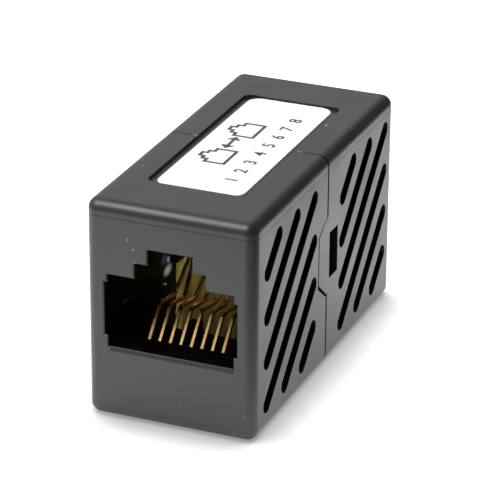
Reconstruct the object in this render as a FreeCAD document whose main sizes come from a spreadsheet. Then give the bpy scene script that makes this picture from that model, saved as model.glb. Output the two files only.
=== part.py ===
import FreeCAD, Part
import math
import os
import re
import Sketcher

# RJ45 inline coupler: two identical half shells that snap together round an upright circuit
# board, with eight sprung contact wires for each socket and a label in a recess on top.
#
# Frame: origin at the middle of the footprint, X across the width, Y along the length from the
# front socket (-Y) to the rear socket (+Y), Z up. A half shell is drawn as the front one, with
# its joint face at Y = 0; the rear one is the same shell turned half a turn about Z.

SIZES = (
    ("body_width", 16.0, "overall width"),
    ("body_height", 20.8, "overall height"),
    ("body_length", 34.8, "overall length, both half shells"),
    ("edge_round", 1.0, "round on the outer edges"),
    ("wall", 1.2, "side, top and bottom walls"),
    ("front_wall", 1.5, "wall with the socket mouth"),
    ("socket_floor", 6.97, "height of the mouth's lower edge"),
    ("socket_height", 6.95, "mouth, lower edge to the plug's top"),
    ("socket_width", 11.96, "mouth at its corners"),
    ("relief_width", 12.6, "mouth between the corners"),
    ("relief_bottom", 1.08, "lower corner's height"),
    ("relief_top", 0.75, "upper corner's height"),
    ("latch_step_width", 6.7, "lower step of the latch keyway"),
    ("latch_step_height", 1.48, "lower step of the latch keyway"),
    ("keyway_width", 4.18, "upper step of the latch keyway"),
    ("keyway_height", 1.49, "upper step of the latch keyway"),
    ("lip_drop", 0.38, "bevel of the mouth's lower edge, down the face"),
    ("lip_depth", 0.15, "bevel of the mouth's lower edge, inwards"),
    ("mouth_bevel", 0.12, "bevel of the mouth's other edges"),
    ("rail_length", 10.4, "plug rails, from the front wall inwards"),
    ("rail_ledge", 0.7, "how far the ledge reaches in under the plug"),
    ("rail_foot", 0.8, "thickness of the ledge under the plug"),
    ("rail_cap", 0.6, "upper rail above the mouth's top"),
    ("groove_width", 1.6, "grip grooves in the side walls"),
    ("groove_depth", 0.75, "grip grooves, which leave the wall closed"),
    ("groove_pitch", 4.25, "grip grooves, measured up the wall"),
    ("groove_margin_end", 2.95, "groove centres from the end face"),
    ("groove_margin_seam", 3.4, "groove centres from the joint face"),
    ("groove_shift", 0.48, "left wall's grooves, further from the joint face"),
    ("groove_margin_bottom", 2.62, "groove centres above the bottom"),
    ("groove_margin_top", 2.9, "groove centres below the top"),
    ("seam_bevel", 0.15, "bevel round the joint face"),
    ("tongue_length", 2.0, "side tongue beyond the joint face"),
    ("tongue_bottom", 8.8, "tongue's tip, lower end"),
    ("tongue_top", 13.5, "tongue's tip, upper end"),
    ("tongue_slope_bottom", 1.7, "drop of the lower slant to the tongue's root"),
    ("tongue_slope_top", 1.5, "rise of the upper slant to the tongue's root"),
    ("notch_gap", 0.2, "play at the tongue's tip"),
    ("notch_top_gap", 0.12, "play over the tongue's upper slant"),
    ("notch_low_gap", 0.3, "play under the tongue's lower slant"),
    ("window_start", 0.55, "latch window from the joint face"),
    ("window_length", 2.1, "latch window along Y"),
    ("window_bottom", 8.55, "latch window, lower end"),
    ("window_top", 13.1, "latch window, upper end"),
    ("arm_thickness", 0.8, "snap arm"),
    ("arm_gap", 0.06, "snap arm to the other shell's wall"),
    ("arm_side_gap", 0.15, "snap arm within the window's height"),
    ("arm_root", 3.4, "length of arm moulded on its own wall"),
    ("hook_gap", 0.08, "hook's face to the window's edge"),
    ("hook_height", 0.42, "hook above the arm"),
    ("hook_land", 0.6, "flat top of the hook"),
    ("hook_ramp", 0.9, "lead-in ramp of the hook"),
    ("recess_width", 9.7, "label recess"),
    ("recess_length", 23.3, "label recess"),
    ("recess_depth", 0.3, "label recess"),
    ("recess_corner", 0.9, "label recess"),
    ("label_side_gap", 0.7, "label to the recess, each side"),
    ("label_end_gap", 0.2, "label to the recess, each end"),
    ("label_thickness", 0.12, "label"),
    ("label_corner", 1.2, "label"),
    ("comb_setback", 2.9, "wire comb from the front face"),
    ("comb_thickness", 1.2, "wire comb along Y"),
    ("comb_sink", 0.3, "sill of the comb below the wire tips"),
    ("comb_tooth", 0.28, "comb's teeth above its sill"),
    ("comb_play", 0.1, "tooth to wire, each side"),
    ("board_thickness", 1.6, "circuit board"),
    ("board_gap", 0.1, "board's edge to the shell's walls"),
    ("board_notch_gap", 0.12, "board's notch round a snap arm"),
    ("seat_gap", 0.02, "seat rib's end to the board's face"),
    ("seat_width", 1.0, "seat ribs"),
    ("seat_height", 1.4, "seat ribs"),
    ("seat_length", 3.0, "seat ribs"),
    ("seat_spread", 9.0, "seat ribs, centre to centre"),
    ("hole_width", 0.5, "board's wire holes"),
    ("lane_pitch", 1.016, "wires, side by side"),
    ("row_rise", 5.85, "lower row of holes above the mouth's lower edge"),
    ("row_pitch", 2.54, "upper row of holes above the lower row"),
    ("wire_width", 0.3, "contact wire, across"),
    ("wire_depth", 0.3, "contact wire, from its upper to its lower face"),
    ("wire_bend", 0.6, "contact wire's bends, on its centre line"),
    ("tip_setback", 3.55, "wire's tip from the front face"),
    ("tip_drop", 0.55, "wire's tip below the mouth's lower edge"),
    ("tip_bevel", 0.08, "bevel on the wire's tip"),
    ("knee_setback", 6.0, "wire's knee from the front face"),
    ("knee_rise", 2.15, "wire's knee above the mouth's lower edge"),
    ("run_setback", 9.15, "end of the level run from the front face"),
    ("run_rise", 1.6, "end of the level run above the mouth's lower edge"),
    ("elbow_setback", 11.6, "even wires' elbow from the front face"),
    ("elbow_rise", 5.2, "even wires' elbow above the mouth's lower edge"),
    ("entry_lead", 1.0, "straight run into the board"),
    ("tail_out", 0.6, "wire's tail beyond the board"),
    ("solder_width", 0.9, "solder joint at the board"),
    ("solder_neck", 0.5, "solder joint at its top"),
    ("solder_height", 0.42, "solder joint"),
)
LANES = 8
HALF_TURN = FreeCAD.Rotation(FreeCAD.Vector(0, 0, 1), 180)

doc = FreeCAD.newDocument("rj45_inline_coupler")
sheet = doc.addObject("Spreadsheet::Sheet", "Sizes")
for row, (alias, number, note) in enumerate(SIZES, start=1):
    sheet.set(f"A{row}", alias)
    sheet.set(f"B{row}", str(number))
    sheet.set(f"C{row}", note)
    sheet.setAlias(f"B{row}", alias)
doc.recompute()
ALIASES = {alias for alias, number, note in SIZES}


def bound(formula):
    """A formula in the sheet's aliases as an expression that other objects can hold."""
    def named(word):
        return f"Sizes.{word[0]}" if word[0] in ALIASES else word[0]
    return re.sub(r"[a-z_]+", named, str(formula))


def value(formula):
    """The formula's present value in millimetres."""
    return float(sheet.evalExpression(bound(formula)))


def origin_item(body, role):
    """One of the body's own origin planes or axes."""
    return next(item for item in body.Origin.OriginFeatures if item.Role == role)


def new_sketch(body, name, role, offset="0"):
    """A sketch on one of the body's own origin planes, moved along its normal by offset."""
    sketch = body.newObject("Sketcher::SketchObject", name)
    sketch.AttachmentSupport = (origin_item(body, role), [""])
    sketch.MapMode = "FlatFace"
    sketch.setExpression("AttachmentOffset.Base.z", bound(offset))
    return sketch


def place(sketch, item, point, spot):
    """Hold one point of a sketch item at a spot given by two formulas."""
    for kind, axis, formula in (("DistanceX", -2, spot[0]), ("DistanceY", -1, spot[1])):
        if abs(value(formula)) < 1e-9:
            sketch.addConstraint(Sketcher.Constraint("PointOnObject", item, point, axis))
            continue
        index = sketch.addConstraint(
            Sketcher.Constraint(kind, -1, 1, item, point, value(formula)))
        sketch.setExpression(f"Constraints[{index}]", bound(formula))


def set_radius(sketch, item, formula):
    index = sketch.addConstraint(Sketcher.Constraint("Radius", item, value(formula)))
    sketch.setExpression(f"Constraints[{index}]", bound(formula))


def add_line(sketch, start, end):
    return sketch.addGeometry(Part.LineSegment(start, end), False)


def add_arc(sketch, centre, radius, start, end):
    """An arc from start to end, which always runs anticlockwise in a sketch."""
    circle = Part.Circle(centre, FreeCAD.Vector(0, 0, 1), radius)
    return sketch.addGeometry(
        Part.ArcOfCircle(circle, circle.parameter(start), circle.parameter(end)), False)


def add_circle(sketch, spot, radius):
    centre = FreeCAD.Vector(value(spot[0]), value(spot[1]), 0)
    circle = Part.Circle(centre, FreeCAD.Vector(0, 0, 1), value(radius))
    item = sketch.addGeometry(circle, False)
    place(sketch, item, 3, spot)
    set_radius(sketch, item, radius)


def trace(sketch, corners, closed=True):
    """Draw straight runs through the corners; a corner with a third formula is rounded by it."""
    points = [FreeCAD.Vector(value(spot[0]), value(spot[1]), 0) for spot in corners]
    count = len(corners)
    runs = count if closed else count - 1
    bends = {}
    for index, spot in enumerate(corners):
        if len(spot) < 3:
            continue
        here = points[index]
        back = (points[index - 1] - here).normalize()
        onward = (points[(index + 1) % count] - here).normalize()
        half = back.getAngle(onward) / 2
        radius = value(spot[2])
        reach = radius / math.tan(half)
        middle = (back + onward).normalize() * (radius / math.sin(half))
        bends[index] = (here + back * reach, here + onward * reach, here + middle, radius)
    lines = []
    for index in range(runs):
        after = (index + 1) % count
        start = bends[index][1] if index in bends else points[index]
        end = bends[after][0] if after in bends else points[after]
        lines.append(add_line(sketch, start, end))
    for index, spot in enumerate(corners):
        before = lines[index - 1] if closed or index > 0 else None
        after = lines[index] if index < runs else None
        if index not in bends:
            if before is not None and after is not None:
                sketch.addConstraint(Sketcher.Constraint("Coincident", before, 2, after, 1))
            place(sketch, *((after, 1) if after is not None else (before, 2)), spot)
            continue
        entry, leave, centre, radius = bends[index]
        turn_left = (entry - centre).cross(leave - centre).z > 0
        first, last = (entry, leave) if turn_left else (leave, entry)
        arc = add_arc(sketch, centre, radius, first, last)
        ends = (1, 2) if turn_left else (2, 1)
        sketch.addConstraint(Sketcher.Constraint("Tangent", before, 2, arc, ends[0]))
        sketch.addConstraint(Sketcher.Constraint("Tangent", arc, ends[1], after, 1))
        set_radius(sketch, arc, spot[2])
        corner = sketch.addGeometry(Part.Point(points[index]), True)
        for line in (before, after):
            sketch.addConstraint(Sketcher.Constraint("PointOnObject", corner, 1, line))
        place(sketch, corner, 1, spot)


def box_outline(sketch, left, right, bottom, top):
    trace(sketch, ((left, bottom), (right, bottom), (right, top), (left, top)))


def groove_reach(side, reach):
    """Y of a groove's centre, which runs from a low to a high end to the right from outside."""
    if side > 0:
        return f"-body_length / 2 + groove_margin_end + ({reach})"
    return f"-groove_margin_seam - groove_shift - ({reach})"


def draw_groove(sketch, low, high):
    """A groove with round ends between two spots; its sides are at 45 degrees."""
    start = FreeCAD.Vector(value(low[0]), value(low[1]), 0)
    end = FreeCAD.Vector(value(high[0]), value(high[1]), 0)
    radius = value("groove_width / 2")
    along = (end - start).normalize() * radius
    side = FreeCAD.Vector(-along.y, along.x, 0)
    right = add_line(sketch, start - side, end - side)
    left = add_line(sketch, end + side, start + side)
    top = add_arc(sketch, end, radius, end - side, end + side)
    bottom = add_arc(sketch, start, radius, start + side, start - side)
    joints = ((right, 2, top, 1), (top, 2, left, 1), (left, 2, bottom, 1), (bottom, 2, right, 1))
    for joint in joints:
        sketch.addConstraint(Sketcher.Constraint("Tangent", *joint))
    for arc, spot in ((top, high), (bottom, low)):
        place(sketch, arc, 3, spot)
        set_radius(sketch, arc, "groove_width / 2")


def draw_grooves(sketch, side):
    """Grooves at 45 degrees that fill a rectangle of one side wall, cut short by its borders."""
    field_length = "body_length / 2 - groove_margin_end - groove_margin_seam"
    field_height = "body_height - groove_margin_top - groove_margin_bottom"
    most = math.ceil((value(field_length) + value(field_height)) / value("groove_pitch"))
    for index in range(-most, most + 1):
        offset = f"({index} * groove_pitch)"
        first = f"max(0; -{offset})"
        last = f"min({field_length}; {field_height} - {offset})"
        if value(last) - value(first) < value("groove_width"):
            continue
        ends = [(groove_reach(side, reach), f"groove_margin_bottom + {offset} + {reach}")
                for reach in (first, last)]
        draw_groove(sketch, *ends)


def pad(body, name, sketch, length, back=False):
    feature = body.newObject("PartDesign::Pad", name)
    feature.Profile = sketch
    feature.Reversed = back
    feature.setExpression("Length", bound(length))
    return settle(body, feature, 1)


def pocket(body, name, sketch, length, back=False):
    feature = body.newObject("PartDesign::Pocket", name)
    feature.Profile = sketch
    feature.Reversed = back
    feature.setExpression("Length", bound(length))
    return settle(body, feature, -1)


def settle(body, feature, sign):
    """Build the new feature and make sure that it added or took material."""
    before = feature.BaseFeature.Shape.Volume if feature.BaseFeature else 0.0
    doc.recompute()
    if (feature.Shape.Volume - before) * sign <= 0:
        raise RuntimeError(f"{body.Label}: {feature.Name} changes nothing")
    return feature


def dress(body, kind, name, base, wanted, size, second=None):
    """A fillet or chamfer, with one size or two, on the base feature's edges that pass the test."""
    edges = [f"Edge{number}" for number, edge in enumerate(base.Shape.Edges, start=1)
             if wanted(edge)]
    feature = body.newObject(f"PartDesign::{kind}", name)
    feature.Base = (base, edges)
    feature.setExpression("Radius" if kind == "Fillet" else "Size", bound(size))
    if second:
        feature.ChamferType = "Two distances"
        feature.setExpression("Size2", bound(second))
    return settle(body, feature, -1)


def repeat(body, name, features, axis, spacing, count):
    """The features again and again along one of the body's own axes."""
    pattern = body.newObject("PartDesign::LinearPattern", name)
    pattern.Originals = features
    pattern.Direction = (origin_item(body, axis), [""])
    pattern.setExpression("Length", bound(f"{spacing} * {count - 1}"))
    pattern.Occurrences = count
    body.Tip = pattern
    doc.recompute()
    return pattern


def new_body(label):
    body = doc.addObject("PartDesign::Body", label)
    body.Label = label
    doc.recompute()
    return body


def near(number, formula):
    return abs(number - value(formula)) < 1e-4


def flat_at(edge, axis, formula):
    """True if the whole edge lies at one value along the axis: 0 for X, 1 for Y, 2 for Z."""
    box = edge.BoundBox
    low = (box.XMin, box.YMin, box.ZMin)[axis]
    high = (box.XMax, box.YMax, box.ZMax)[axis]
    return near(low, formula) and near(high, formula)


def within(edge, reach, bottom, top):
    """True if the whole edge lies inside a width about the middle and between two heights."""
    box = edge.BoundBox
    slack = 1e-4
    return (max(-box.XMin, box.XMax) < value(reach) + slack and box.ZMin > value(bottom) - slack
            and box.ZMax < value(top) + slack)


def draw_mouth(sketch):
    """The socket's stepped outline, as wide as a plug with its latch up."""
    half_steps = (
        ("socket_width / 2", "socket_floor"),
        ("socket_width / 2", "socket_floor + relief_bottom"),
        ("relief_width / 2", "socket_floor + relief_bottom"),
        ("relief_width / 2", "socket_floor + socket_height - relief_top"),
        ("socket_width / 2", "socket_floor + socket_height - relief_top"),
        ("socket_width / 2", "socket_floor + socket_height"),
        ("latch_step_width / 2", "socket_floor + socket_height"),
        ("latch_step_width / 2", "socket_floor + socket_height + latch_step_height"),
        ("keyway_width / 2", "socket_floor + socket_height + latch_step_height"),
        ("keyway_width / 2", "socket_floor + socket_height + latch_step_height + keyway_height"),
    )
    left_side = tuple((f"-{across}", up) for across, up in reversed(half_steps))
    trace(sketch, half_steps + left_side)


def draw_rails(sketch):
    """Each side wall's lower rail, an L that carries the plug, and its upper rail."""
    for sign in ("", "-"):
        wall_face = f"{sign}(body_width / 2 - wall)"
        guide = f"{sign}socket_width / 2"
        ledge = f"{sign}(socket_width / 2 - rail_ledge)"
        trace(sketch, (
            (wall_face, "socket_floor - rail_foot"),
            (ledge, "socket_floor - rail_foot"),
            (ledge, "socket_floor"),
            (guide, "socket_floor"),
            (guide, "socket_floor + relief_bottom"),
            (wall_face, "socket_floor + relief_bottom"),
        ))
        box_outline(sketch, guide, wall_face, "socket_floor + socket_height - relief_top",
                    "socket_floor + socket_height + rail_cap")


def draw_arm(sketch):
    """The snap arm from above: moulded on its own wall, then free, with an outward hook."""
    wall_face = "(body_width / 2 - wall)"
    outer = f"{wall_face} - arm_gap"
    inner = f"{outer} - arm_thickness"
    crest = f"{outer} + hook_height"
    notch_end = "-(tongue_length + notch_gap)"
    catch = "window_start + hook_gap"
    trace(sketch, (
        (inner, f"{notch_end} - arm_root"),
        (wall_face, f"{notch_end} - arm_root"),
        (wall_face, notch_end),
        (outer, notch_end),
        (outer, catch),
        (crest, catch),
        (crest, f"{catch} + hook_land"),
        (outer, f"{catch} + hook_land + hook_ramp"),
        (inner, f"{catch} + hook_land + hook_ramp"),
    ))


def add_comb(body):
    """A low wall inside the mouth whose teeth keep the wires' tips in their lanes."""
    sill = "socket_floor - tip_drop - comb_sink"
    sketch = new_sketch(body, "CombOutline", "XZ_Plane", "body_length / 2 - comb_setback")
    box_outline(sketch, "-(body_width / 2 - wall)", "body_width / 2 - wall", "wall",
                f"{sill} + comb_tooth")
    pad(body, "Comb", sketch, "comb_thickness", back=True)
    lane = f"-{(LANES - 1) / 2} * lane_pitch"
    half_gap = "(wire_width / 2 + comb_play)"
    gap = new_sketch(body, "CombGapOutline", "XZ_Plane", "body_length / 2 - comb_setback")
    box_outline(gap, f"{lane} - {half_gap}", f"{lane} + {half_gap}", sill,
                f"{sill} + 2 * comb_tooth")
    first = pocket(body, "CombGap", gap, "comb_thickness")
    repeat(body, "CombGaps", [first], "X_Axis", "lane_pitch", LANES)


def add_seats(body):
    """Ribs on the floor and the ceiling whose ends hold the circuit board upright."""
    sketch = new_sketch(body, "SeatOutline", "XZ_Plane", "board_thickness / 2 + seat_gap")
    for sign in ("-", ""):
        centre = f"{sign}seat_spread / 2"
        for low, high in (("wall", "wall + seat_height"),
                          ("body_height - wall - seat_height", "body_height - wall")):
            box_outline(sketch, f"{centre} - seat_width / 2", f"{centre} + seat_width / 2",
                        low, high)
    pad(body, "Seats", sketch, "seat_length")


def make_shell(label, turn):
    body = new_body(label)
    half_width = "body_width / 2"

    sketch = new_sketch(body, "BlockOutline", "XZ_Plane")
    box_outline(sketch, f"-{half_width}", half_width, "0", "body_height")
    block = pad(body, "Block", sketch, "body_length / 2")
    rounded = dress(body, "Fillet", "EdgeRound", block, lambda edge: not flat_at(edge, 1, "0"),
                    "edge_round")
    dress(body, "Chamfer", "SeamBevel", rounded, lambda edge: flat_at(edge, 1, "0"),
          "seam_bevel")

    sketch = new_sketch(body, "CavityOutline", "XZ_Plane")
    box_outline(sketch, f"-({half_width} - wall)", f"{half_width} - wall", "wall",
                "body_height - wall")
    pocket(body, "Cavity", sketch, "body_length / 2 - front_wall", back=True)

    sketch = new_sketch(body, "MouthOutline", "XZ_Plane", "body_length / 2")
    draw_mouth(sketch)
    mouth = pocket(body, "Mouth", sketch, "front_wall")
    lip = dress(body, "Chamfer", "LipBevel", mouth,
                lambda edge: flat_at(edge, 1, "-body_length / 2")
                and flat_at(edge, 2, "socket_floor"), "lip_drop", "lip_depth")
    dress(body, "Chamfer", "MouthBevel", lip,
          lambda edge: flat_at(edge, 1, "-body_length / 2")
          and within(edge, "relief_width / 2", "socket_floor", "body_height - wall"),
          "mouth_bevel")

    sketch = new_sketch(body, "RecessOutline", "XY_Plane", "body_height")
    trace(sketch, (
        ("-recess_width / 2", "wall"),
        ("-recess_width / 2", "-recess_length / 2", "recess_corner"),
        ("recess_width / 2", "-recess_length / 2", "recess_corner"),
        ("recess_width / 2", "wall"),
    ))
    pocket(body, "LabelRecess", sketch, "recess_depth")

    for side, name in ((1, "Right"), (-1, "Left")):
        sketch = new_sketch(body, f"{name}GrooveOutline", "YZ_Plane", f"{side} * {half_width}")
        draw_grooves(sketch, side)
        pocket(body, f"{name}Grooves", sketch, "groove_depth", back=side < 0)

    sketch = new_sketch(body, "WindowOutline", "YZ_Plane", f"-{half_width}")
    box_outline(sketch, "-(window_start + window_length)", "-window_start", "window_bottom",
                "window_top")
    pocket(body, "LatchWindow", sketch, "wall", back=True)

    sketch = new_sketch(body, "TongueOutline", "YZ_Plane", f"-{half_width}")
    trace(sketch, (
        ("-seam_bevel", "tongue_bottom - tongue_slope_bottom"),
        ("0", "tongue_bottom - tongue_slope_bottom"),
        ("tongue_length", "tongue_bottom"),
        ("tongue_length", "tongue_top"),
        ("0", "tongue_top + tongue_slope_top"),
        ("-seam_bevel", "tongue_top + tongue_slope_top"),
    ))
    pad(body, "Tongue", sketch, "wall")

    sketch = new_sketch(body, "NotchOutline", "YZ_Plane", half_width)
    trace(sketch, (
        ("0", "tongue_bottom - tongue_slope_bottom - notch_low_gap"),
        ("-(tongue_length + notch_gap)", "tongue_bottom - notch_low_gap"),
        ("-(tongue_length + notch_gap)", "tongue_top + notch_top_gap"),
        ("0", "tongue_top + tongue_slope_top + notch_top_gap"),
    ))
    pocket(body, "Notch", sketch, "wall")

    sketch = new_sketch(body, "RailOutline", "XZ_Plane", "body_length / 2 - front_wall")
    draw_rails(sketch)
    pad(body, "Rails", sketch, "rail_length", back=True)
    add_comb(body)
    add_seats(body)

    sketch = new_sketch(body, "ArmOutline", "XY_Plane", "window_bottom + arm_side_gap")
    draw_arm(sketch)
    pad(body, "SnapArm", sketch, "window_top - window_bottom - 2 * arm_side_gap")
    body.Placement = FreeCAD.Placement(FreeCAD.Vector(0, 0, 0), turn)
    return body


def lane_offset(lane):
    return f"{lane - (LANES + 1) / 2} * lane_pitch"


def row_height(lane):
    """Height of a wire's hole in the board: even lanes use the upper row."""
    upper = " + row_pitch" if lane % 2 == 0 else ""
    return f"socket_floor + row_rise{upper}"


def make_board():
    body = new_body("circuit_board")
    side = "(body_width / 2 - wall - board_gap)"
    notch = "(body_width / 2 - wall - arm_gap - arm_thickness - board_notch_gap)"
    low = "window_bottom + arm_side_gap - board_notch_gap"
    high = "window_top - arm_side_gap + board_notch_gap"
    bottom = "wall + board_gap"
    top = "body_height - wall - board_gap"
    right_side = ((side, bottom), (side, low), (notch, low), (notch, high), (side, high),
                  (side, top))
    left_side = tuple((f"-{across}", up) for across, up in reversed(right_side))
    sketch = new_sketch(body, "BoardOutline", "XZ_Plane", "-board_thickness / 2")
    trace(sketch, right_side + left_side)
    pad(body, "Board", sketch, "board_thickness")
    holes = new_sketch(body, "HoleOutline", "XZ_Plane", "board_thickness / 2")
    for lane in range(1, LANES + 1):
        for row in (lane, lane + 1):
            add_circle(holes, (lane_offset(lane), row_height(row)), "hole_width / 2")
    pocket(body, "Holes", holes, "board_thickness")
    return body


def make_label():
    body = new_body("label")
    half_width = "(recess_width / 2 - label_side_gap)"
    half_length = "(recess_length / 2 - label_end_gap)"
    corners = ((-1, -1), (1, -1), (1, 1), (-1, 1))
    sketch = new_sketch(body, "LabelOutline", "XY_Plane", "body_height - recess_depth")
    trace(sketch, tuple((f"{across} * {half_width}", f"{along} * {half_length}", "label_corner")
                        for across, along in corners))
    pad(body, "Label", sketch, "label_thickness")
    return body


def make_contact(label, lane, turn):
    """One sprung wire, from its tail behind the board to its free tip in the mouth."""
    body = new_body(label)
    row = row_height(lane)
    tail = "board_thickness / 2 + tail_out"
    face = "-body_length / 2"
    bend = "wire_bend"
    corners = [(tail, row), ("-board_thickness / 2 - entry_lead", row, bend)]
    if lane % 2 == 0:
        corners.append((f"{face} + elbow_setback", "socket_floor + elbow_rise", bend))
    corners += [
        (f"{face} + run_setback", "socket_floor + run_rise", bend),
        (f"{face} + knee_setback", "socket_floor + knee_rise", bend),
        (f"{face} + tip_setback", "socket_floor - tip_drop"),
    ]
    route = new_sketch(body, "Route", "YZ_Plane")
    trace(route, corners, closed=False)
    section = new_sketch(body, "Section", "XZ_Plane", f"-({tail})")
    box_outline(section, "-wire_width / 2", "wire_width / 2", f"{row} - wire_depth / 2",
                f"{row} + wire_depth / 2")
    wire = body.newObject("PartDesign::AdditivePipe", "Wire")
    wire.Profile = section
    wire.Spine = route
    settle(body, wire, 1)
    tip_y = value(f"{face} + tip_setback")
    dress(body, "Chamfer", "TipBevel", wire,
          lambda edge: (edge.BoundBox.YLength < 1e-6 and edge.BoundBox.ZLength < 1e-6
                        and abs(edge.CenterOfMass.y - tip_y) < value("wire_depth / 2")),
          "tip_bevel")
    across = FreeCAD.Vector(value(lane_offset(lane)), 0, 0)
    body.Placement = FreeCAD.Placement(turn.multVec(across), turn)
    return body


def add_solid(kind, name, sizes, spot):
    """A Part primitive whose sizes and place are formulas."""
    solid = doc.addObject(f"Part::{kind}", name)
    for key, formula in sizes.items():
        solid.setExpression(key, bound(formula))
    for axis, formula in zip("xyz", spot):
        solid.setExpression(f"Placement.Base.{axis}", bound(formula))
    return solid


def make_solder(label, turn):
    """The joints round the wire tails on one face of the board, as one group."""
    foot = "solder_width / 2"
    neck = "solder_neck / 2"
    joints = []
    for lane in range(1, LANES + 1):
        across = lane_offset(lane)
        up = row_height(lane)
        face = "board_thickness / 2"
        joint = doc.addObject("Part::Cut", f"{label}_joint")
        joint.Base = add_solid("Wedge", f"{label}_heap", {
            "Xmin": f"-{foot}",
            "Xmax": foot,
            "X2min": f"-{neck}",
            "X2max": neck,
            "Ymin": "0",
            "Ymax": "solder_height",
            "Zmin": f"-{foot}",
            "Zmax": foot,
            "Z2min": f"-{neck}",
            "Z2max": neck,
        }, (across, face, up))
        joint.Tool = add_solid("Box", f"{label}_bore", {
            "Length": "wire_width",
            "Width": "solder_height",
            "Height": "wire_depth",
        }, (f"{across} - wire_width / 2", face, f"{up} - wire_depth / 2"))
        joints.append(joint)
    group = doc.addObject("Part::Compound", label)
    group.Label = label
    group.Links = joints
    group.Placement = FreeCAD.Placement(FreeCAD.Vector(0, 0, 0), turn)
    return group


def main():
    straight = FreeCAD.Rotation()
    pieces = [
        make_shell("front_shell", straight),
        make_shell("rear_shell", HALF_TURN),
        make_board(),
        make_label(),
        make_solder("solder_rear", straight),
        make_solder("solder_front", HALF_TURN),
    ]
    for end, turn in (("front", straight), ("rear", HALF_TURN)):
        for lane in range(1, LANES + 1):
            pieces.append(make_contact(f"contact_{end}_{lane}", lane, turn))
    doc.recompute()
    for item in doc.Objects:
        if {"Invalid", "Error"} & set(item.State):
            raise RuntimeError(f"{item.Label} failed: {item.State}")
    for piece in pieces:
        if piece.Shape.isNull() or not piece.Shape.isValid():
            raise RuntimeError(f"{piece.Label} has no valid shape")
    os.makedirs("parts", exist_ok=True)
    for piece in pieces:
        piece.Shape.exportStep(f"parts/{piece.Label}.step")
        box = piece.Shape.BoundBox
        print(f"{piece.Label}: {len(piece.Shape.Solids)} solid(s), "
              f"{piece.Shape.Volume:.2f} mm3, X {box.XMin:.2f} {box.XMax:.2f}, "
              f"Y {box.YMin:.2f} {box.YMax:.2f}, Z {box.ZMin:.2f} {box.ZMax:.2f}")


main()
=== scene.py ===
import math

import bmesh
import bpy
from mathutils import Matrix, Vector


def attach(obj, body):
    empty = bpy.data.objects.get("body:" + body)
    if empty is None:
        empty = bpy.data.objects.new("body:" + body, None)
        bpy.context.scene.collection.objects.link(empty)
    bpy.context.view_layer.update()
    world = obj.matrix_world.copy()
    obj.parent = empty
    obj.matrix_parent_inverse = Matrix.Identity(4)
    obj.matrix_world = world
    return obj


MM = 0.001

# The view: a long lens, a little above the coupler and round to its right.
LENS_MM = 202.468
SENSOR_MM = 36.0
AZIMUTH = math.radians(22.218)
ELEVATION = math.radians(24.019)
ROLL = math.radians(0.398)
AIM = Vector((0.3727, 0.0698, 10.2288)) * MM
DISTANCE = 259.363 * MM
NEAREST_SEEN = 10 * MM

# The lights: broad soft light from above, and a small lamp that only polished surfaces see.
BROAD_SPOT = Vector((-0.08, 0.08, 0.6))
BROAD_SIZE = 0.7
BROAD_POWER = 4.4
LAMP_SPOT = Vector((-0.23, -0.27, 0.49))
LAMP_SIZE = 0.36
LAMP_POWER = 1.5
COUPLER_MIDDLE = Vector((0, 0, 10)) * MM

# Light that the openings let into the housing: name, place, target and power.
INNER_LIGHTS = (
    ("inner_light_above", (0.0, -9.5, 18.0), (0.0, -0.8, 13.0), 5.5e-5),
    ("inner_light_left", (-5.2, -3.8, 12.6), (-6.3, -0.8, 10.5), 9e-5),
)
INNER_LIGHT_SIZE = 2 * MM

# The room that matt surfaces and reflections see: a pale backdrop on the left, dim on the right.
ROOM_LIGHT = 0.45
BACKDROP_SIDE = Vector((-1.0, 0.0, 0.3)).normalized()
ROOM_EDGE = -0.1
BACKDROP_EDGE = 0.45
ROOM_LEVEL = 0.08
BACKDROP_LEVEL = 0.66

# The floor, the light it adds of its own, and the soft shade where the coupler meets it.
FLOOR_HALF = 1.5
FLOOR_CELLS = 8
FLOOR_TONE = 0.86
FLOOR_LIFT = 0.48
FLOOR_SEEN_LIFT = 0.5
CONTACT_REACH = 5 * MM
CONTACT_OPEN = (0.5, 0.95)
CONTACT_TONE = 0.52
CONTACT_LEFT = 0.85
CONTACT_MIRRORED = 0.82
CONTACT_FROM = -11 * MM
CONTACT_TO = -5 * MM

# What polished surfaces see of the floor: it fades out around the coupler, and is dimmer
# to the front right.
FLOOR_NEAR = 60 * MM
FLOOR_FAR = 180 * MM
FAR_TONE = 0.06
DIM_SIDE = Vector((0.93, -0.37, 0.0))
DIM_START = 14 * MM
DIM_END = 28 * MM
DIM_TONE = 0.45
RIGHT_NEAR = 29 * MM
RIGHT_FAR = 52 * MM

LANES = 8
ENDS = ("front", "rear")

# The housing, in millimetres. Edges are eased more at the two end faces.
EASED_FROM = 17.0
EASED_TO = 17.2
SIDE_EASE = 0.04
END_EASE = 0.12
MIDDLE_HEIGHT = 10.26
# Half sizes of the spaces painted with shade: the whole cavity, behind the outer skin, and the
# grooves.
CAVITY_WIDTH = 6.9
CAVITY_LENGTH = 17.22
CAVITY_HEIGHT = 9.3
SKIN_WIDTH = 7.96
SKIN_LENGTH = 15.7
GROOVE_ENDS_HEIGHT = 8.9
GROOVE_DEEP_HEIGHT = 8.05
LATCH_LENGTH = 2.4
GROOVES_FROM = 3.1
GROOVES_TO = 14.95
GROOVE_ENDS_SHADE = 0.75
# The two moulding lines along the sides, and the joint between the halves.
LINES_MIDDLE = 9.95
LINES_OFF = 9.45
LINE_HALF_WIDTH = 0.09
LINE_DARK = 0.4
LINE_DEPTH = 1.5
JOINT_HALF_WIDTH = 0.17
JOINT_DARK = 0.55
TONGUE_MIDDLE = 10.9
TONGUE_HALF = 3.6
TONGUE_SIDE = 7.9
RECESS_HALF_WIDTH = 5.4
RECESS_ABOVE = 15.0

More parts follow.
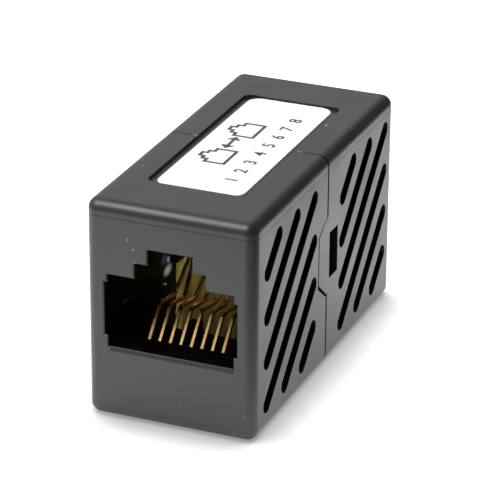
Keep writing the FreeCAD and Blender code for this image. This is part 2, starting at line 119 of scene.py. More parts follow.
# Dust on the housing, then the light that falls on its inner left wall: centre and reach in
# millimetres, core and strength.
HOUSING_DUST = (
    ((-3.42, -17.40, 16.72), (0.13, 0.2, 0.11), 0.4, 0.8),
    ((-3.98, -17.40, 17.57), (0.12, 0.2, 0.16), 0.2, 0.6),
    ((-3.32, -17.38, 15.46), (0.17, 0.2, 0.15), 0.4, 0.8),
    ((-3.70, -17.40, 13.35), (0.10, 0.2, 0.10), 0.2, 0.35),
    ((-5.95, -17.35, 6.75), (0.14, 0.2, 0.12), 0.3, 0.7),
    ((0.96, -17.40, 2.55), (0.16, 0.2, 0.14), 0.1, 0.25),
    ((7.05, -17.40, 2.50), (0.16, 0.2, 0.14), 0.1, 0.25),
    ((6.05, -17.20, 0.62), (0.16, 0.4, 0.16), 0.2, 0.40),
    ((5.07, 6.96, 20.80), (0.12, 0.22, 0.4), 0.4, 0.85),
    ((-6.47, -8.56, 20.80), (0.22, 0.25, 0.4), 0.1, 0.30),
    ((6.60, 0.0, 19.90), (0.30, 0.8, 0.3), 0.1, 0.15),
)
WALL_LIGHT = (
    ((-6.80, -2.50, 8.00), (0.30, 1.10, 0.66), 0.25, 0.19),
    ((-6.80, -3.00, 6.78), (0.20, 0.26, 0.10), 0.3, 0.28),
    ((-6.80, -3.60, 7.00), (0.20, 0.36, 0.09), 0.2, 0.10),
    ((-6.80, -0.65, 2.89), (0.20, 0.20, 0.14), 0.3, 0.25),
    ((-7.15, -1.30, 8.55), (0.45, 1.00, 0.05), 0.6, 0.12),
    ((-6.80, -3.20, 9.40), (0.10, 0.90, 0.70), 0.2, 0.03),
    ((-6.80, -11.94, 8.88), (0.10, 0.80, 0.12), 0.2, 0.02),
)

# Colours. A pair is what a surface drifts between.
BLACK_PLASTIC = ((0.0112, 0.0132, 0.0178, 1), (0.0152, 0.0172, 0.0218, 1))
# The board's solder mask and bare laminate are paler than the real board: painted light for the
# light that reaches it through the openings.
LIT_SOLDER_MASK = ((0.86, 0.60, 0.15, 1), (0.98, 0.74, 0.22, 1))
COPPER = (0.60, 0.38, 0.09, 1)
LIT_BARE_LAMINATE = (0.92, 0.88, 0.34, 1)
LAMINATE_GLOW = (0.066, 0.056, 0.005, 1)
WHITE_STOCK = ((0.90, 0.90, 0.905, 1), (0.94, 0.94, 0.94, 1))
INK_TONES = (0.045, 0.085)
GOLD = ((0.56, 0.34, 0.13, 1), (0.76, 0.49, 0.21, 1))
BRONZE = ((0.70, 0.33, 0.11, 1), (0.90, 0.46, 0.17, 1))
# Painted shade on the sides of the wires.
WIRE_SIDE_SHADE = (0.09, 0.035, 0.012, 1)
TIN = ((0.50, 0.50, 0.49, 1), (0.66, 0.66, 0.65, 1))
WORN_TONE = 0.035
WORN_SHARE = 0.35
SPECK_TONE = 0.45
SPECK_SHARE = 0.55
DUST_TONE = 0.42
# Painted shade: near-black, mostly metallic and rougher, so the cavity, grooves and latch window
# reflect almost nothing; the joint and moulding lines take it in part.
SHADE_AND_SEAM_TONE = 0.0012
SHADE_AND_SEAM_METALLIC = 0.9
SHADE_AND_SEAM_ROUGHER = 0.25
TRACK_SHARE = 0.5
SIDE_SHADE_SHARE = 0.9

# Painted light and shade on the wires, from the left one to the right one, at the knee and at
# the tip: how much of the plating colour shows.
KNEE_LIGHT_LEVELS = (1.0, 0.12)
TIP_LIGHT_LEVELS = (0.46, 0.27)

# The board's bare margin, and how far forward and across the wires change their tone: painted
# light and shade on the plating, and the bronze behind it.
MARGIN_FROM = 6.05
MARGIN_TO = 6.15
WIRES_HALF_WIDTH = 3.6
KNEE = 11.4
BRIGHT_FROM = 13.8
BRONZE_BEHIND = 10.9
GOLD_BEFORE = 11.5

# The label's print, in millimetres: two sockets joined by an arrow, and the pin numbers.
PRINT_HEIGHT = 20.625
INK_THICKNESS = 0.006
TO_LABEL = Matrix.Rotation(math.pi / 2, 4, "Z")
SOCKET_ROW = -1.55
SOCKET_FRONT = -3.45
SOCKET_REAR = 3.35
NUMBER_ROW = 1.95
NUMBER_START = -0.4
NUMBER_SIZE = 1.7
NUMBER_PITCH = 2.2
NUMBER_WEIGHT = 0.035
NUMBER_STEPS = 4
STROKE = 0.32
ARROW_HALF = 1.45
ARROW_HEAD = 0.8
ARROW_SPREAD = 0.72
SAME_POINT = 1e-7
SOCKET_OUTLINE = ((-1.75, -1.55), (1.75, -1.55), (1.75, 0.65), (1.1, 0.65), (1.1, 1.15),
                  (0.55, 1.15), (0.55, 1.6), (-0.55, 1.6), (-0.55, 1.15), (-1.1, 1.15),
                  (-1.1, 0.65), (-1.75, 0.65))


# Node trees

def link(tree, source, socket):
    tree.links.new(source, socket)


def give(tree, given, socket):
    """Links an input, or sets it when it is a plain number, colour or vector."""
    if isinstance(given, bpy.types.NodeSocket):
        link(tree, given, socket)
    else:
        socket.default_value = given


def add(tree, kind, inputs=None, **settings):
    """One node with its settings, and each input given as a number, a colour or a link."""
    made = tree.nodes.new(kind)
    for key, setting in settings.items():
        setattr(made, key, setting)
    for key, given in (inputs or {}).items():
        give(tree, given, made.inputs[key])
    return made


def maths(tree, operation, *operands, clamp=False):
    """The result of one Math node."""
    made = add(tree, "ShaderNodeMath", dict(enumerate(operands)), operation=operation,
               use_clamp=clamp)
    return made.outputs[0]


def times(tree, first, second):
    return maths(tree, "MULTIPLY", first, second)


def blend(tree, amount, low, high):
    """A colour between two others."""
    made = add(tree, "ShaderNodeMix", data_type="RGBA")
    colours = [socket for socket in made.inputs if socket.type == "RGBA"]
    for socket, given in zip((made.inputs["Factor"], *colours), (amount, low, high)):
        give(tree, given, socket)
    return next(socket for socket in made.outputs if socket.type == "RGBA")


def remap(tree, source, low, high, to_low=0.0, to_high=1.0):
    """A value stretched from one range to another, held at its ends."""
    made = add(tree, "ShaderNodeMapRange", {
        "Value": source,
        "From Min": low,
        "From Max": high,
        "To Min": to_low,
        "To Max": to_high,
    })
    return made.outputs["Result"]


def grey(level):
    return (level, level, level, 1.0)


def noise(tree, where, scale, detail, rough):
    """A drifting value."""
    made = add(tree, "ShaderNodeTexNoise", {
        "Vector": where,
        "Scale": scale,
        "Detail": detail,
        "Roughness": rough,
    })
    return made.outputs[0]


def place(tree):
    return add(tree, "ShaderNodeTexCoord").outputs["Object"]


def axes(tree, where):
    """The three coordinates of a point, in metres."""
    return add(tree, "ShaderNodeSeparateXYZ", {"Vector": where}).outputs


def inside(tree, coordinate, limit):
    """1 where a coordinate is less than a limit in millimetres from the middle."""
    return maths(tree, "LESS_THAN", maths(tree, "ABSOLUTE", coordinate), limit * MM)


def new_group(name, inputs, outputs):
    """An empty node group with named sockets; its inner input and output sockets."""
    tree = bpy.data.node_groups.new(name, "ShaderNodeTree")
    for label, kind, default in inputs:
        socket = tree.interface.new_socket(name=label, in_out="INPUT", socket_type=kind)
        socket.default_value = default
    for label, kind in outputs:
        tree.interface.new_socket(name=label, in_out="OUTPUT", socket_type=kind)
    given = tree.nodes.new("NodeGroupInput").outputs
    result = tree.nodes.new("NodeGroupOutput").inputs
    return tree, given, result


def use(tree, group, **inputs):
    """A node group placed in a material, with its own values."""
    named = {key.replace("_", " "): given for key, given in inputs.items()}
    return add(tree, "ShaderNodeGroup", named, node_tree=group).outputs


# Effects that the materials share

FLOAT = "NodeSocketFloat"
VECTOR = "NodeSocketVector"


def make_grain():
    """Fine moulded or rolled grain: a height for a bump, and a slow cloudiness."""
    tree, given, result = new_group("Grain", [
        ("Vector", VECTOR, (0, 0, 0)),
        ("Grains per Metre", FLOAT, 4000.0),
        ("Clouds per Metre", FLOAT, 150.0),
    ], [("Height", FLOAT), ("Cloud", FLOAT)])
    fine = noise(tree, given["Vector"], given["Grains per Metre"], detail=3.0, rough=0.6)
    link(tree, fine, result["Height"])
    slow = noise(tree, given["Vector"], given["Clouds per Metre"], detail=4.0, rough=0.55)
    link(tree, remap(tree, slow, 0.35, 0.65), result["Cloud"])
    return tree


def make_soft_edge():
    """Edges eased over a small radius, and a mask of where they are."""
    tree, given, result = new_group("Soft Edge", [
        ("Radius", FLOAT, 0.0001),
        ("Reach", FLOAT, 0.25),
    ], [("Normal", VECTOR), ("Edge", FLOAT)])
    eased = add(tree, "ShaderNodeBevel", {"Radius": given["Radius"]}, samples=6)
    facing = add(tree, "ShaderNodeNewGeometry").outputs["Normal"]
    lined_up = add(tree, "ShaderNodeVectorMath", {0: eased.outputs[0], 1: facing},
                   operation="DOT_PRODUCT").outputs["Value"]
    turned = maths(tree, "SUBTRACT", 1.0, lined_up)
    mask = maths(tree, "DIVIDE", turned, given["Reach"], clamp=True)
    link(tree, eased.outputs[0], result["Normal"])
    link(tree, mask, result["Edge"])
    return tree


def make_dust():
    """Scattered specks: a mask of small round spots in the share of cells that is asked for."""
    tree, given, result = new_group("Dust", [
        ("Vector", VECTOR, (0, 0, 0)),
        ("Cells per Metre", FLOAT, 900.0),
        ("Share", FLOAT, 0.05),
        ("Spot", FLOAT, 0.12),
    ], [("Mask", FLOAT)])
    cells = add(tree, "ShaderNodeTexVoronoi", {
        "Vector": given["Vector"],
        "Scale": given["Cells per Metre"],
        "Randomness": 1.0,
    }, feature="F1")
    near = maths(tree, "LESS_THAN", cells.outputs["Distance"], given["Spot"])
    pick = add(tree, "ShaderNodeSeparateColor", {"Color": cells.outputs["Color"]})
    chosen = maths(tree, "LESS_THAN", pick.outputs[0], given["Share"])
    link(tree, times(tree, near, chosen), result["Mask"])
    return tree


def make_line():
    """A soft narrow line where a coordinate passes a given place."""
    tree, given, result = new_group("Line", [
        ("Coordinate", FLOAT, 0.0),
        ("Place", FLOAT, 0.0),
        ("Half Width", FLOAT, 0.0001),
    ], [("Mask", FLOAT)])
    off = maths(tree, "ABSOLUTE", maths(tree, "SUBTRACT", given["Coordinate"], given["Place"]))
    near = maths(tree, "SUBTRACT", 1.0, maths(tree, "DIVIDE", off, given["Half Width"]),
                 clamp=True)
    link(tree, near, result["Mask"])
    return tree


def make_spot():
    """One soft-edged spot about a centre, stretched along the axes."""
    tree, given, result = new_group("Spot", [
        ("Vector", VECTOR, (0, 0, 0)),
        ("Centre", VECTOR, (0, 0, 0)),
        ("Reach", VECTOR, (1, 1, 1)),
        ("Core", FLOAT, 0.3),
    ], [("Mask", FLOAT)])
    off = add(tree, "ShaderNodeVectorMath", {0: given["Vector"], 1: given["Centre"]},
              operation="SUBTRACT").outputs[0]
    scaled = add(tree, "ShaderNodeVectorMath", {0: off, 1: given["Reach"]},
                 operation="DIVIDE").outputs[0]
    away = add(tree, "ShaderNodeVectorMath", {0: scaled}, operation="LENGTH").outputs["Value"]
    link(tree, remap(tree, away, 1.0, given["Core"]), result["Mask"])
    return tree


def spots(tree, group, where, places):
    """The brightest of several spots: centre and reach in millimetres, core and strength."""
    shown = 0.0
    for centre, reach, core, strength in places:
        mask = use(tree, group, Vector=where, Centre=Vector(centre) * MM,
                   Reach=Vector(reach) * MM, Core=core)["Mask"]
        shown = maths(tree, "MAXIMUM", shown, times(tree, mask, strength))
    return shown


# Finishes

def new_material(name):
    material = bpy.data.materials.new(name)
    material.use_nodes = True
    tree = material.node_tree
    return material, tree, tree.nodes["Principled BSDF"]


def roughen(tree, surface, texture, smoothest, roughest):
    """Roughness that drifts between two values."""
    link(tree, remap(tree, texture["Cloud"], 0.0, 1.0, smoothest, roughest),
         surface.inputs["Roughness"])


def emboss(tree, surface, height, strength, depth, normal=None):
    """A bump in millimetres, over the eased edges where they are given."""
    inputs = {"Strength": strength, "Distance": depth * MM, "Height": height}
    if normal:
        inputs["Normal"] = normal
    bump = add(tree, "ShaderNodeBump", inputs)
    link(tree, bump.outputs[0], surface.inputs["Normal"])


def painted_shade_and_seams(tree, place_on, seam):
    """How strongly each point is darkened: painted shade in the cavity, the grooves and the
    latch window, with the dark joint and the moulding lines.
    """
    x, y, z = place_on
    height = maths(tree, "SUBTRACT", z, MIDDLE_HEIGHT * MM)
    cavity = times(tree, inside(tree, height, CAVITY_HEIGHT),
                   times(tree, inside(tree, x, CAVITY_WIDTH), inside(tree, y, CAVITY_LENGTH)))
    from_middle = maths(tree, "ABSOLUTE", y)
    grooved = times(tree, inside(tree, y, GROOVES_TO),
                    maths(tree, "GREATER_THAN", from_middle, GROOVES_FROM * MM))
    opened = maths(tree, "MAXIMUM", inside(tree, y, LATCH_LENGTH), grooved)
    behind_skin = times(tree, inside(tree, x, SKIN_WIDTH), inside(tree, y, SKIN_LENGTH))
    deep = times(tree, behind_skin,
                 times(tree, opened, inside(tree, height, GROOVE_DEEP_HEIGHT)))
    ends = times(tree, times(tree, behind_skin, GROOVE_ENDS_SHADE),
                 inside(tree, height, GROOVE_ENDS_HEIGHT))
    along_tongue = inside(tree, maths(tree, "SUBTRACT", z, TONGUE_MIDDLE * MM), TONGUE_HALF)
    tongue = times(tree, along_tongue, maths(tree, "GREATER_THAN", maths(tree, "ABSOLUTE", x),
                                             TONGUE_SIDE * MM))
    in_recess = times(tree, inside(tree, x, RECESS_HALF_WIDTH),
                      maths(tree, "GREATER_THAN", z, RECESS_ABOVE * MM))
    joint = times(tree, times(tree, inside(tree, y, JOINT_HALF_WIDTH), JOINT_DARK),
                  maths(tree, "SUBTRACT", 1.0, maths(tree, "MAXIMUM", tongue, in_recess)))
    shade_and_seams = times(tree, seam, LINE_DARK)
    for mask in (joint, cavity, deep, ends):
        shade_and_seams = maths(tree, "MAXIMUM", shade_and_seams, mask)
    return shade_and_seams


def make_housing_plastic(grain, soft_edge, dust, line, spot):
    """Satin black moulded plastic with a fine spark grain, softer edges and a little dust; with
    painted shade in its cavity, grooves and latch window, and painted light glowing on its inner
    left wall.
    """
    material, tree, surface = new_material("housing_plastic")
    where = place(tree)
    x, y, z = axes(tree, where)
    texture = use(tree, grain, Vector=where, Grains_per_Metre=5200.0, Clouds_per_Metre=120.0)
    easing = remap(tree, maths(tree, "ABSOLUTE", y), EASED_FROM * MM, EASED_TO * MM,
                   SIDE_EASE * MM, END_EASE * MM)
    edges = use(tree, soft_edge, Radius=easing, Reach=0.3)
    specks = use(tree, dust, Vector=where, Cells_per_Metre=420.0, Share=0.025, Spot=0.035)
    body = blend(tree, texture["Cloud"], *BLACK_PLASTIC)
    worn = blend(tree, times(tree, edges["Edge"], WORN_SHARE), body, grey(WORN_TONE))
    dusty = blend(tree, times(tree, specks["Mask"], SPECK_SHARE), worn, grey(SPECK_TONE))
    dusty = blend(tree, spots(tree, spot, where, HOUSING_DUST), dusty, grey(DUST_TONE))
    from_lines = maths(tree, "ABSOLUTE", maths(tree, "SUBTRACT", z, LINES_MIDDLE * MM))
    seam = use(tree, line, Coordinate=from_lines, Place=LINES_OFF * MM,
               Half_Width=LINE_HALF_WIDTH * MM)["Mask"]
    shade_and_seams = painted_shade_and_seams(tree, (x, y, z), seam)
    # Painted shade: the cavity, grooves and latch window turn near-black and, through Metallic,
    # reflect almost nothing; the joint and moulding lines darken in part.
    link(tree, blend(tree, shade_and_seams, dusty, grey(SHADE_AND_SEAM_TONE)), surface.inputs["Base Color"])
    link(tree, times(tree, shade_and_seams, SHADE_AND_SEAM_METALLIC), surface.inputs["Metallic"])
    # Painted light: soft patches on the inner left wall glow.
    link(tree, blend(tree, spots(tree, spot, where, WALL_LIGHT), grey(0.0), grey(1.0)),
         surface.inputs["Emission Color"])
    surface.inputs["Emission Strength"].default_value = 1.0
    rough = remap(tree, texture["Cloud"], 0.0, 1.0, 0.30, 0.38)
    link(tree, maths(tree, "ADD", rough, times(tree, shade_and_seams, SHADE_AND_SEAM_ROUGHER)),
         surface.inputs["Roughness"])
    relief = maths(tree, "SUBTRACT", texture["Height"], times(tree, seam, LINE_DEPTH))
    emboss(tree, surface, relief, strength=0.35, depth=0.012, normal=edges["Normal"])
    surface.inputs["Specular IOR Level"].default_value = 0.83
    return material


def make_board_laminate(grain):
    """Olive solder mask over copper, bare laminate along the cut edges, both made paler as
    painted light for the light reaching the board through the openings; the front-left margin
    glows with painted light.
    """
    material, tree, surface = new_material("board")
    where = place(tree)
    x, y = axes(tree, where)[0:2]
    texture = use(tree, grain, Vector=where, Grains_per_Metre=2500.0, Clouds_per_Metre=260.0)
    mask = blend(tree, texture["Cloud"], *LIT_SOLDER_MASK)
    weave = add(tree, "ShaderNodeTexWave", {
        "Vector": where,
        "Scale": 260.0,
        "Distortion": 1.5,
    }, wave_type="BANDS", bands_direction="X")
    tracks = remap(tree, weave.outputs["Fac"], 0.45, 0.55)
    copper = blend(tree, times(tree, tracks, TRACK_SHARE), mask, COPPER)
    margin = remap(tree, maths(tree, "ABSOLUTE", x), MARGIN_FROM * MM, MARGIN_TO * MM)
    link(tree, blend(tree, margin, copper, LIT_BARE_LAMINATE), surface.inputs["Base Color"])
    # The margin that shows through the front mouth catches light from the left.
    front_left = times(tree, maths(tree, "LESS_THAN", x, 0.0), maths(tree, "LESS_THAN", y, 0.0))
    lit = times(tree, front_left, margin)
    link(tree, blend(tree, lit, grey(0.0), LAMINATE_GLOW), surface.inputs["Emission Color"])
    surface.inputs["Emission Strength"].default_value = 1.0
    roughen(tree, surface, texture, smoothest=0.28, roughest=0.4)
    emboss(tree, surface, tracks, strength=0.3, depth=0.02)
    return material


def make_label_stock(grain):
    """White coated label stock with a slight tooth."""
    material, tree, surface = new_material("label_stock")
    texture = use(tree, grain, Vector=place(tree), Grains_per_Metre=3200.0,
                  Clouds_per_Metre=180.0)
    link(tree, blend(tree, texture["Cloud"], *WHITE_STOCK), surface.inputs["Base Color"])
    roughen(tree, surface, texture, smoothest=0.42, roughest=0.52)
    emboss(tree, surface, texture["Height"], strength=0.2, depth=0.006)
    return material


def make_ink(grain):
    """Dark grey label print, a little uneven."""
    material, tree, surface = new_material("label_ink")
    texture = use(tree, grain, Vector=place(tree), Grains_per_Metre=6000.0,
                  Clouds_per_Metre=900.0)
    link(tree, blend(tree, texture["Cloud"], *map(grey, INK_TONES)),
         surface.inputs["Base Color"])
    surface.inputs["Roughness"].default_value = 0.55
    return material


def make_gold(grain, soft_edge):
    """Gold plating on drawn bronze wire, with painted light and shade across the wires and
    between tip and knee, and painted shade along their sides.
    """
    material, tree, surface = new_material("contact_gold")
    where = place(tree)
    texture = use(tree, grain, Vector=where, Grains_per_Metre=7000.0, Clouds_per_Metre=700.0)
    edges = use(tree, soft_edge, Radius=0.11 * MM, Reach=0.5)
    x, y = axes(tree, where)[0:2]
    depth = maths(tree, "ABSOLUTE", y)
    # Across the socket as a plug sees it, the same at both ends.
    across = times(tree, x, times(tree, maths(tree, "SIGN", y), -1.0))
    reach = WIRES_HALF_WIDTH * MM
    # Painted light and shade: the plating colour is scaled from the left wire to the right one,
    # differently at the knee and at the tip.
    at_knee = remap(tree, across, -reach, reach, *KNEE_LIGHT_LEVELS)
    at_tip = remap(tree, across, -reach, reach, *TIP_LIGHT_LEVELS)
    forward = remap(tree, depth, KNEE * MM, BRIGHT_FROM * MM)
    level = maths(tree, "ADD", at_knee,
                  times(tree, forward, maths(tree, "SUBTRACT", at_tip, at_knee)))
    plating = blend(tree, level, grey(0.0), blend(tree, texture["Cloud"], *GOLD))
    bronze = blend(tree, texture["Cloud"], *BRONZE)
    rear = remap(tree, depth, GOLD_BEFORE * MM, BRONZE_BEHIND * MM)
    metal = blend(tree, rear, plating, bronze)
    # Painted shade: the sides of each wire darken towards dark brown at their eased edges.
    side_shade = times(tree, edges["Edge"], SIDE_SHADE_SHARE)
    link(tree, blend(tree, side_shade, metal, WIRE_SIDE_SHADE), surface.inputs["Base Color"])
    surface.inputs["Metallic"].default_value = 1.0
    roughen(tree, surface, texture, smoothest=0.22, roughest=0.34)
    emboss(tree, surface, texture["Height"], strength=0.2, depth=0.004,
           normal=edges["Normal"])
    return material


def make_solder_metal(grain, soft_edge):
    """Matt grey tin solder."""
    material, tree, surface = new_material("solder")
    texture = use(tree, grain, Vector=place(tree), Grains_per_Metre=5000.0,
                  Clouds_per_Metre=1200.0)
    edges = use(tree, soft_edge, Radius=0.14 * MM, Reach=0.5)
    link(tree, blend(tree, texture["Cloud"], *TIN), surface.inputs["Base Color"])
    surface.inputs["Metallic"].default_value = 1.0
    roughen(tree, surface, texture, smoothest=0.3, roughest=0.45)
    emboss(tree, surface, texture["Height"], strength=0.3, depth=0.01,
           normal=edges["Normal"])
    return material


def finish(node, material):
    """Puts a material in all the slots of a CAD node."""
    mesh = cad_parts[node].data
    if not mesh.materials:
        mesh.materials.append(material)
    for index in range(len(mesh.materials)):
        mesh.materials[index] = material


# New pieces

def object_from(shape, name, material):
    """An object at the origin from a bmesh, with its place in its mesh."""
    mesh = bpy.data.meshes.new(name)
    shape.to_mesh(mesh)
    shape.free()
    mesh.materials.append(material)
    made = bpy.data.objects.new(name, mesh)
    bpy.context.scene.collection.objects.link(made)
    return made


def print_from(shape, name, material):
    """A piece of the label's print."""
    made = object_from(shape, name, material)
    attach(made, "root")


def flat_face(shape, corners):
    """One face from a few corners in millimetres, along and up the line of print."""
    face = shape.faces.new([shape.verts.new((along * MM, up * MM, 0)) for along, up in corners])
    face.normal_update()
    return face


def set_down(shape, along, across):
    """Gives flat print its thickness and lays it on the label."""
    bmesh.ops.recalc_face_normals(shape, faces=shape.faces)
    made = bmesh.ops.extrude_face_region(shape, geom=list(shape.faces))
    raised = [item for item in made["geom"] if isinstance(item, bmesh.types.BMVert)]
    bmesh.ops.translate(shape, verts=raised, vec=(0, 0, INK_THICKNESS * MM))
    bmesh.ops.recalc_face_normals(shape, faces=shape.faces)
    where = Matrix.Translation((across * MM, along * MM, PRINT_HEIGHT * MM)) @ TO_LABEL
    bmesh.ops.transform(shape, matrix=where, verts=shape.verts)


def print_socket(name, along, across, ink):
    """A plain outline of a socket mouth."""
    shape = bmesh.new()
    face = flat_face(shape, SOCKET_OUTLINE)
    bmesh.ops.inset_region(shape, faces=[face], thickness=STROKE * MM,
                           use_boundary=True, use_even_offset=True)
    bmesh.ops.delete(shape, geom=[face], context="FACES_ONLY")
    set_down(shape, along, across)
    print_from(shape, name, ink)


def print_arrow(name, along, across, ink):
    """A double-headed arrow between the two sockets."""
    shape = bmesh.new()
    shaft = ARROW_HALF - ARROW_HEAD
    half_stroke = STROKE / 2
    flat_face(shape, ((-shaft, -half_stroke), (shaft, -half_stroke),
                      (shaft, half_stroke), (-shaft, half_stroke)))
    for side in (-1, 1):
        flat_face(shape, ((side * ARROW_HALF, 0), (side * shaft, ARROW_SPREAD),
                          (side * shaft, -ARROW_SPREAD)))
    bmesh.ops.remove_doubles(shape, verts=shape.verts, dist=SAME_POINT)
    set_down(shape, along, across)
    print_from(shape, name, ink)


def print_figure(figure, along):
    """One plain figure as a flat mesh, its middle at a place along the line of print."""
    text = bpy.data.curves.new("figure", "FONT")
    text.body = figure
    text.size = NUMBER_SIZE * MM
    text.align_x = "CENTER"
    text.align_y = "CENTER"
    text.resolution_u = NUMBER_STEPS
    text.offset = NUMBER_WEIGHT * MM
    holder = bpy.data.objects.new("figure", text)
    bpy.context.scene.collection.objects.link(holder)
    bpy.context.view_layer.update()
    flat = bpy.data.meshes.new_from_object(holder)
    bpy.data.objects.remove(holder)
    flat.transform(Matrix.Translation((along * MM, 0, 0)))
    return flat


def print_pin_numbers(name, along, across, ink):
    """The pin numbers 1 to 8 in one line."""
    shape = bmesh.new()
    for lane in range(LANES):
        flat = print_figure(str(lane + 1), (lane - (LANES - 1) / 2) * NUMBER_PITCH)
        shape.from_mesh(flat)
        bpy.data.meshes.remove(flat)
    set_down(shape, along, across)
    print_from(shape, name, ink)


# Studio

def seen_directly(tree, ray):
    """1 for the view, reflections and what glass shows; 0 for the light that surfaces catch."""
    return maths(tree, "MAXIMUM", ray.outputs["Is Camera Ray"],
                 maths(tree, "MAXIMUM", ray.outputs["Is Glossy Ray"],
                       ray.outputs["Is Transmission Ray"]))


def mirrored_floor(tree, where):
    """How bright reflections find the floor."""
    reach = add(tree, "ShaderNodeVectorMath", {0: where}, operation="LENGTH").outputs["Value"]
    sideways = add(tree, "ShaderNodeVectorMath", {0: where, 1: DIM_SIDE},
                   operation="DOT_PRODUCT").outputs["Value"]
    level = times(tree, remap(tree, reach, FLOOR_NEAR, FLOOR_FAR, 1.0, FAR_TONE),
                  remap(tree, sideways, DIM_START, DIM_END, 1.0, DIM_TONE))
    return times(tree, level,
                 remap(tree, axes(tree, where)[0], RIGHT_NEAR, RIGHT_FAR, 1.0, FAR_TONE))


def contact_shade(tree, where, glossy):
    """The soft shade where the coupler meets the floor, lighter on its left."""
    contact = add(tree, "ShaderNodeAmbientOcclusion", {"Distance": CONTACT_REACH}, samples=12)
    seen = remap(tree, axes(tree, where)[0], CONTACT_FROM, CONTACT_TO,
                 CONTACT_LEFT, CONTACT_TONE)
    darkest = maths(tree, "MAXIMUM", seen, times(tree, glossy, CONTACT_MIRRORED))
    return remap(tree, contact.outputs["AO"], *CONTACT_OPEN, darkest, 1.0)


def make_floor():
    """A white floor that stays white to the view and in reflections, and keeps the shadow."""
    material, tree, surface = new_material("floor_white")
    tree.nodes.remove(surface)
    ray = add(tree, "ShaderNodeLightPath")
    glossy = ray.outputs["Is Glossy Ray"]
    where = place(tree)
    mirrored = mirrored_floor(tree, where)
    share = times(tree, contact_shade(tree, where, glossy),
                  maths(tree, "MAXIMUM", mirrored, maths(tree, "SUBTRACT", 1.0, glossy)))
    paper = add(tree, "ShaderNodeBsdfDiffuse",
                {"Color": blend(tree, share, grey(0.0), grey(FLOOR_TONE))})
    lifted = maths(tree, "MAXIMUM",
                   times(tree, ray.outputs["Is Camera Ray"], FLOOR_SEEN_LIFT),
                   times(tree, glossy, FLOOR_LIFT))
    lift = add(tree, "ShaderNodeEmission", {
        "Color": grey(1.0),
        "Strength": times(tree, share, lifted),
    })
    both = add(tree, "ShaderNodeAddShader", {0: paper.outputs[0], 1: lift.outputs[0]})
    link(tree, both.outputs[0], tree.nodes["Material Output"].inputs["Surface"])
    shape = bmesh.new()
    bmesh.ops.create_grid(shape, x_segments=FLOOR_CELLS, y_segments=FLOOR_CELLS,
                          size=FLOOR_HALF)
    floor = object_from(shape, "floor", material)


def make_world():
    """A pale backdrop on the left that fades to a dim room on the right."""
    world = bpy.data.worlds.new("studio")
    bpy.context.scene.world = world
    world.use_nodes = True
    tree = world.node_tree
    background = tree.nodes["Background"]
    ray = add(tree, "ShaderNodeLightPath")
    direction = add(tree, "ShaderNodeTexCoord").outputs["Generated"]
    leftward = add(tree, "ShaderNodeVectorMath", {0: direction, 1: BACKDROP_SIDE},
                   operation="DOT_PRODUCT").outputs["Value"]
    room = remap(tree, leftward, ROOM_EDGE, BACKDROP_EDGE, ROOM_LEVEL, BACKDROP_LEVEL)
    direct = seen_directly(tree, ray)
    caught = times(tree, maths(tree, "SUBTRACT", 1.0, direct), ROOM_LIGHT)
    shown = times(tree, maths(tree, "MAXIMUM", room, ray.outputs["Is Camera Ray"]), direct)
    link(tree, maths(tree, "ADD", caught, shown), background.inputs["Strength"])
    background.inputs["Color"].default_value = grey(1.0)


def make_lamp(name, spot, target, width, power, mirrored=True, lighting=True):
    """A soft square lamp; whether polished surfaces mirror it and matt ones catch its light."""
    lamp = bpy.data.lights.new(name, "AREA")
    lamp.shape = "SQUARE"
    lamp.size = width
    lamp.energy = power
    holder = bpy.data.objects.new(name, lamp)
    bpy.context.scene.collection.objects.link(holder)
    holder.visible_camera = False
    holder.visible_glossy = mirrored
    holder.visible_diffuse = lighting
    holder.location = spot
    holder.rotation_euler = (target - spot).to_track_quat("-Z", "Y").to_euler()


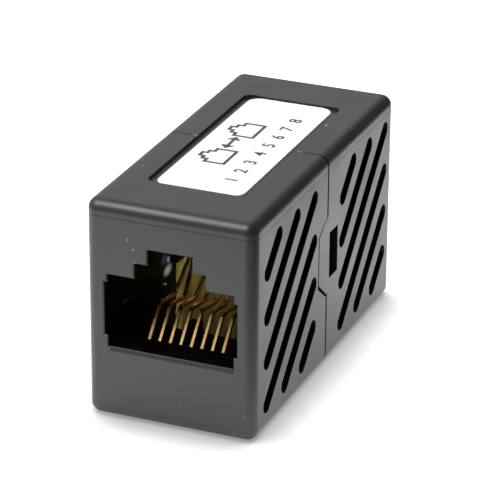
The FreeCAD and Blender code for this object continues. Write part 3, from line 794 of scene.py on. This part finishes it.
def make_camera():
    """The view, square to its own line of sight and turned by a small roll."""
    back = Vector((math.sin(AZIMUTH) * math.cos(ELEVATION),
                   -math.cos(AZIMUTH) * math.cos(ELEVATION), math.sin(ELEVATION)))
    right = Vector((math.cos(AZIMUTH), math.sin(AZIMUTH), 0))
    up = back.cross(right)
    turned_right = math.cos(ROLL) * right + math.sin(ROLL) * up
    turned_up = -math.sin(ROLL) * right + math.cos(ROLL) * up
    lens = bpy.data.cameras.new("view")
    lens.lens = LENS_MM
    lens.sensor_width = SENSOR_MM
    lens.clip_start = NEAREST_SEEN
    camera = bpy.data.objects.new("view", lens)
    turn = Matrix((turned_right, turned_up, back)).transposed().to_4x4()
    camera.matrix_world = Matrix.Translation(AIM + back * DISTANCE) @ turn
    bpy.context.scene.collection.objects.link(camera)
    bpy.context.scene.camera = camera


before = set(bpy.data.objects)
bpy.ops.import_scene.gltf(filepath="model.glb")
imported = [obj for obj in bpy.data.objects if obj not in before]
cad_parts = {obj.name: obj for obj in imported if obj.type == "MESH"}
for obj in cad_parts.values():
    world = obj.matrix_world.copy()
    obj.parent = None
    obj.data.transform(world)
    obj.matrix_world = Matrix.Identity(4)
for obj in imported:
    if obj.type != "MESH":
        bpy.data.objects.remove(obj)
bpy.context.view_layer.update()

grain = make_grain()
soft_edge = make_soft_edge()
dust = make_dust()
line = make_line()
spot = make_spot()

plastic = make_housing_plastic(grain, soft_edge, dust, line, spot)
laminate = make_board_laminate(grain)
paper = make_label_stock(grain)
ink = make_ink(grain)
gold = make_gold(grain, soft_edge)
tin = make_solder_metal(grain, soft_edge)

for end in ENDS:
    finish(f"{end}_shell", plastic)
    finish(f"solder_{end}", tin)
    for lane in range(1, LANES + 1):
        finish(f"contact_{end}_{lane}", gold)
finish("circuit_board", laminate)
finish("label", paper)

print_socket("print_socket_front", SOCKET_FRONT, SOCKET_ROW, ink)
print_arrow("print_arrow", 0.0, SOCKET_ROW, ink)
print_socket("print_socket_rear", SOCKET_REAR, SOCKET_ROW, ink)
print_pin_numbers("print_pin_numbers", NUMBER_START, NUMBER_ROW, ink)

make_floor()
make_world()
make_lamp("broad_light", BROAD_SPOT, COUPLER_MIDDLE, BROAD_SIZE, BROAD_POWER, mirrored=False)
make_lamp("small_lamp", LAMP_SPOT, COUPLER_MIDDLE, LAMP_SIZE, LAMP_POWER, lighting=False)
for name, stand, target, power in INNER_LIGHTS:
    make_lamp(name, Vector(stand) * MM, Vector(target) * MM, INNER_LIGHT_SIZE, power)
make_camera()
bpy.context.scene.view_settings.view_transform = "Standard"
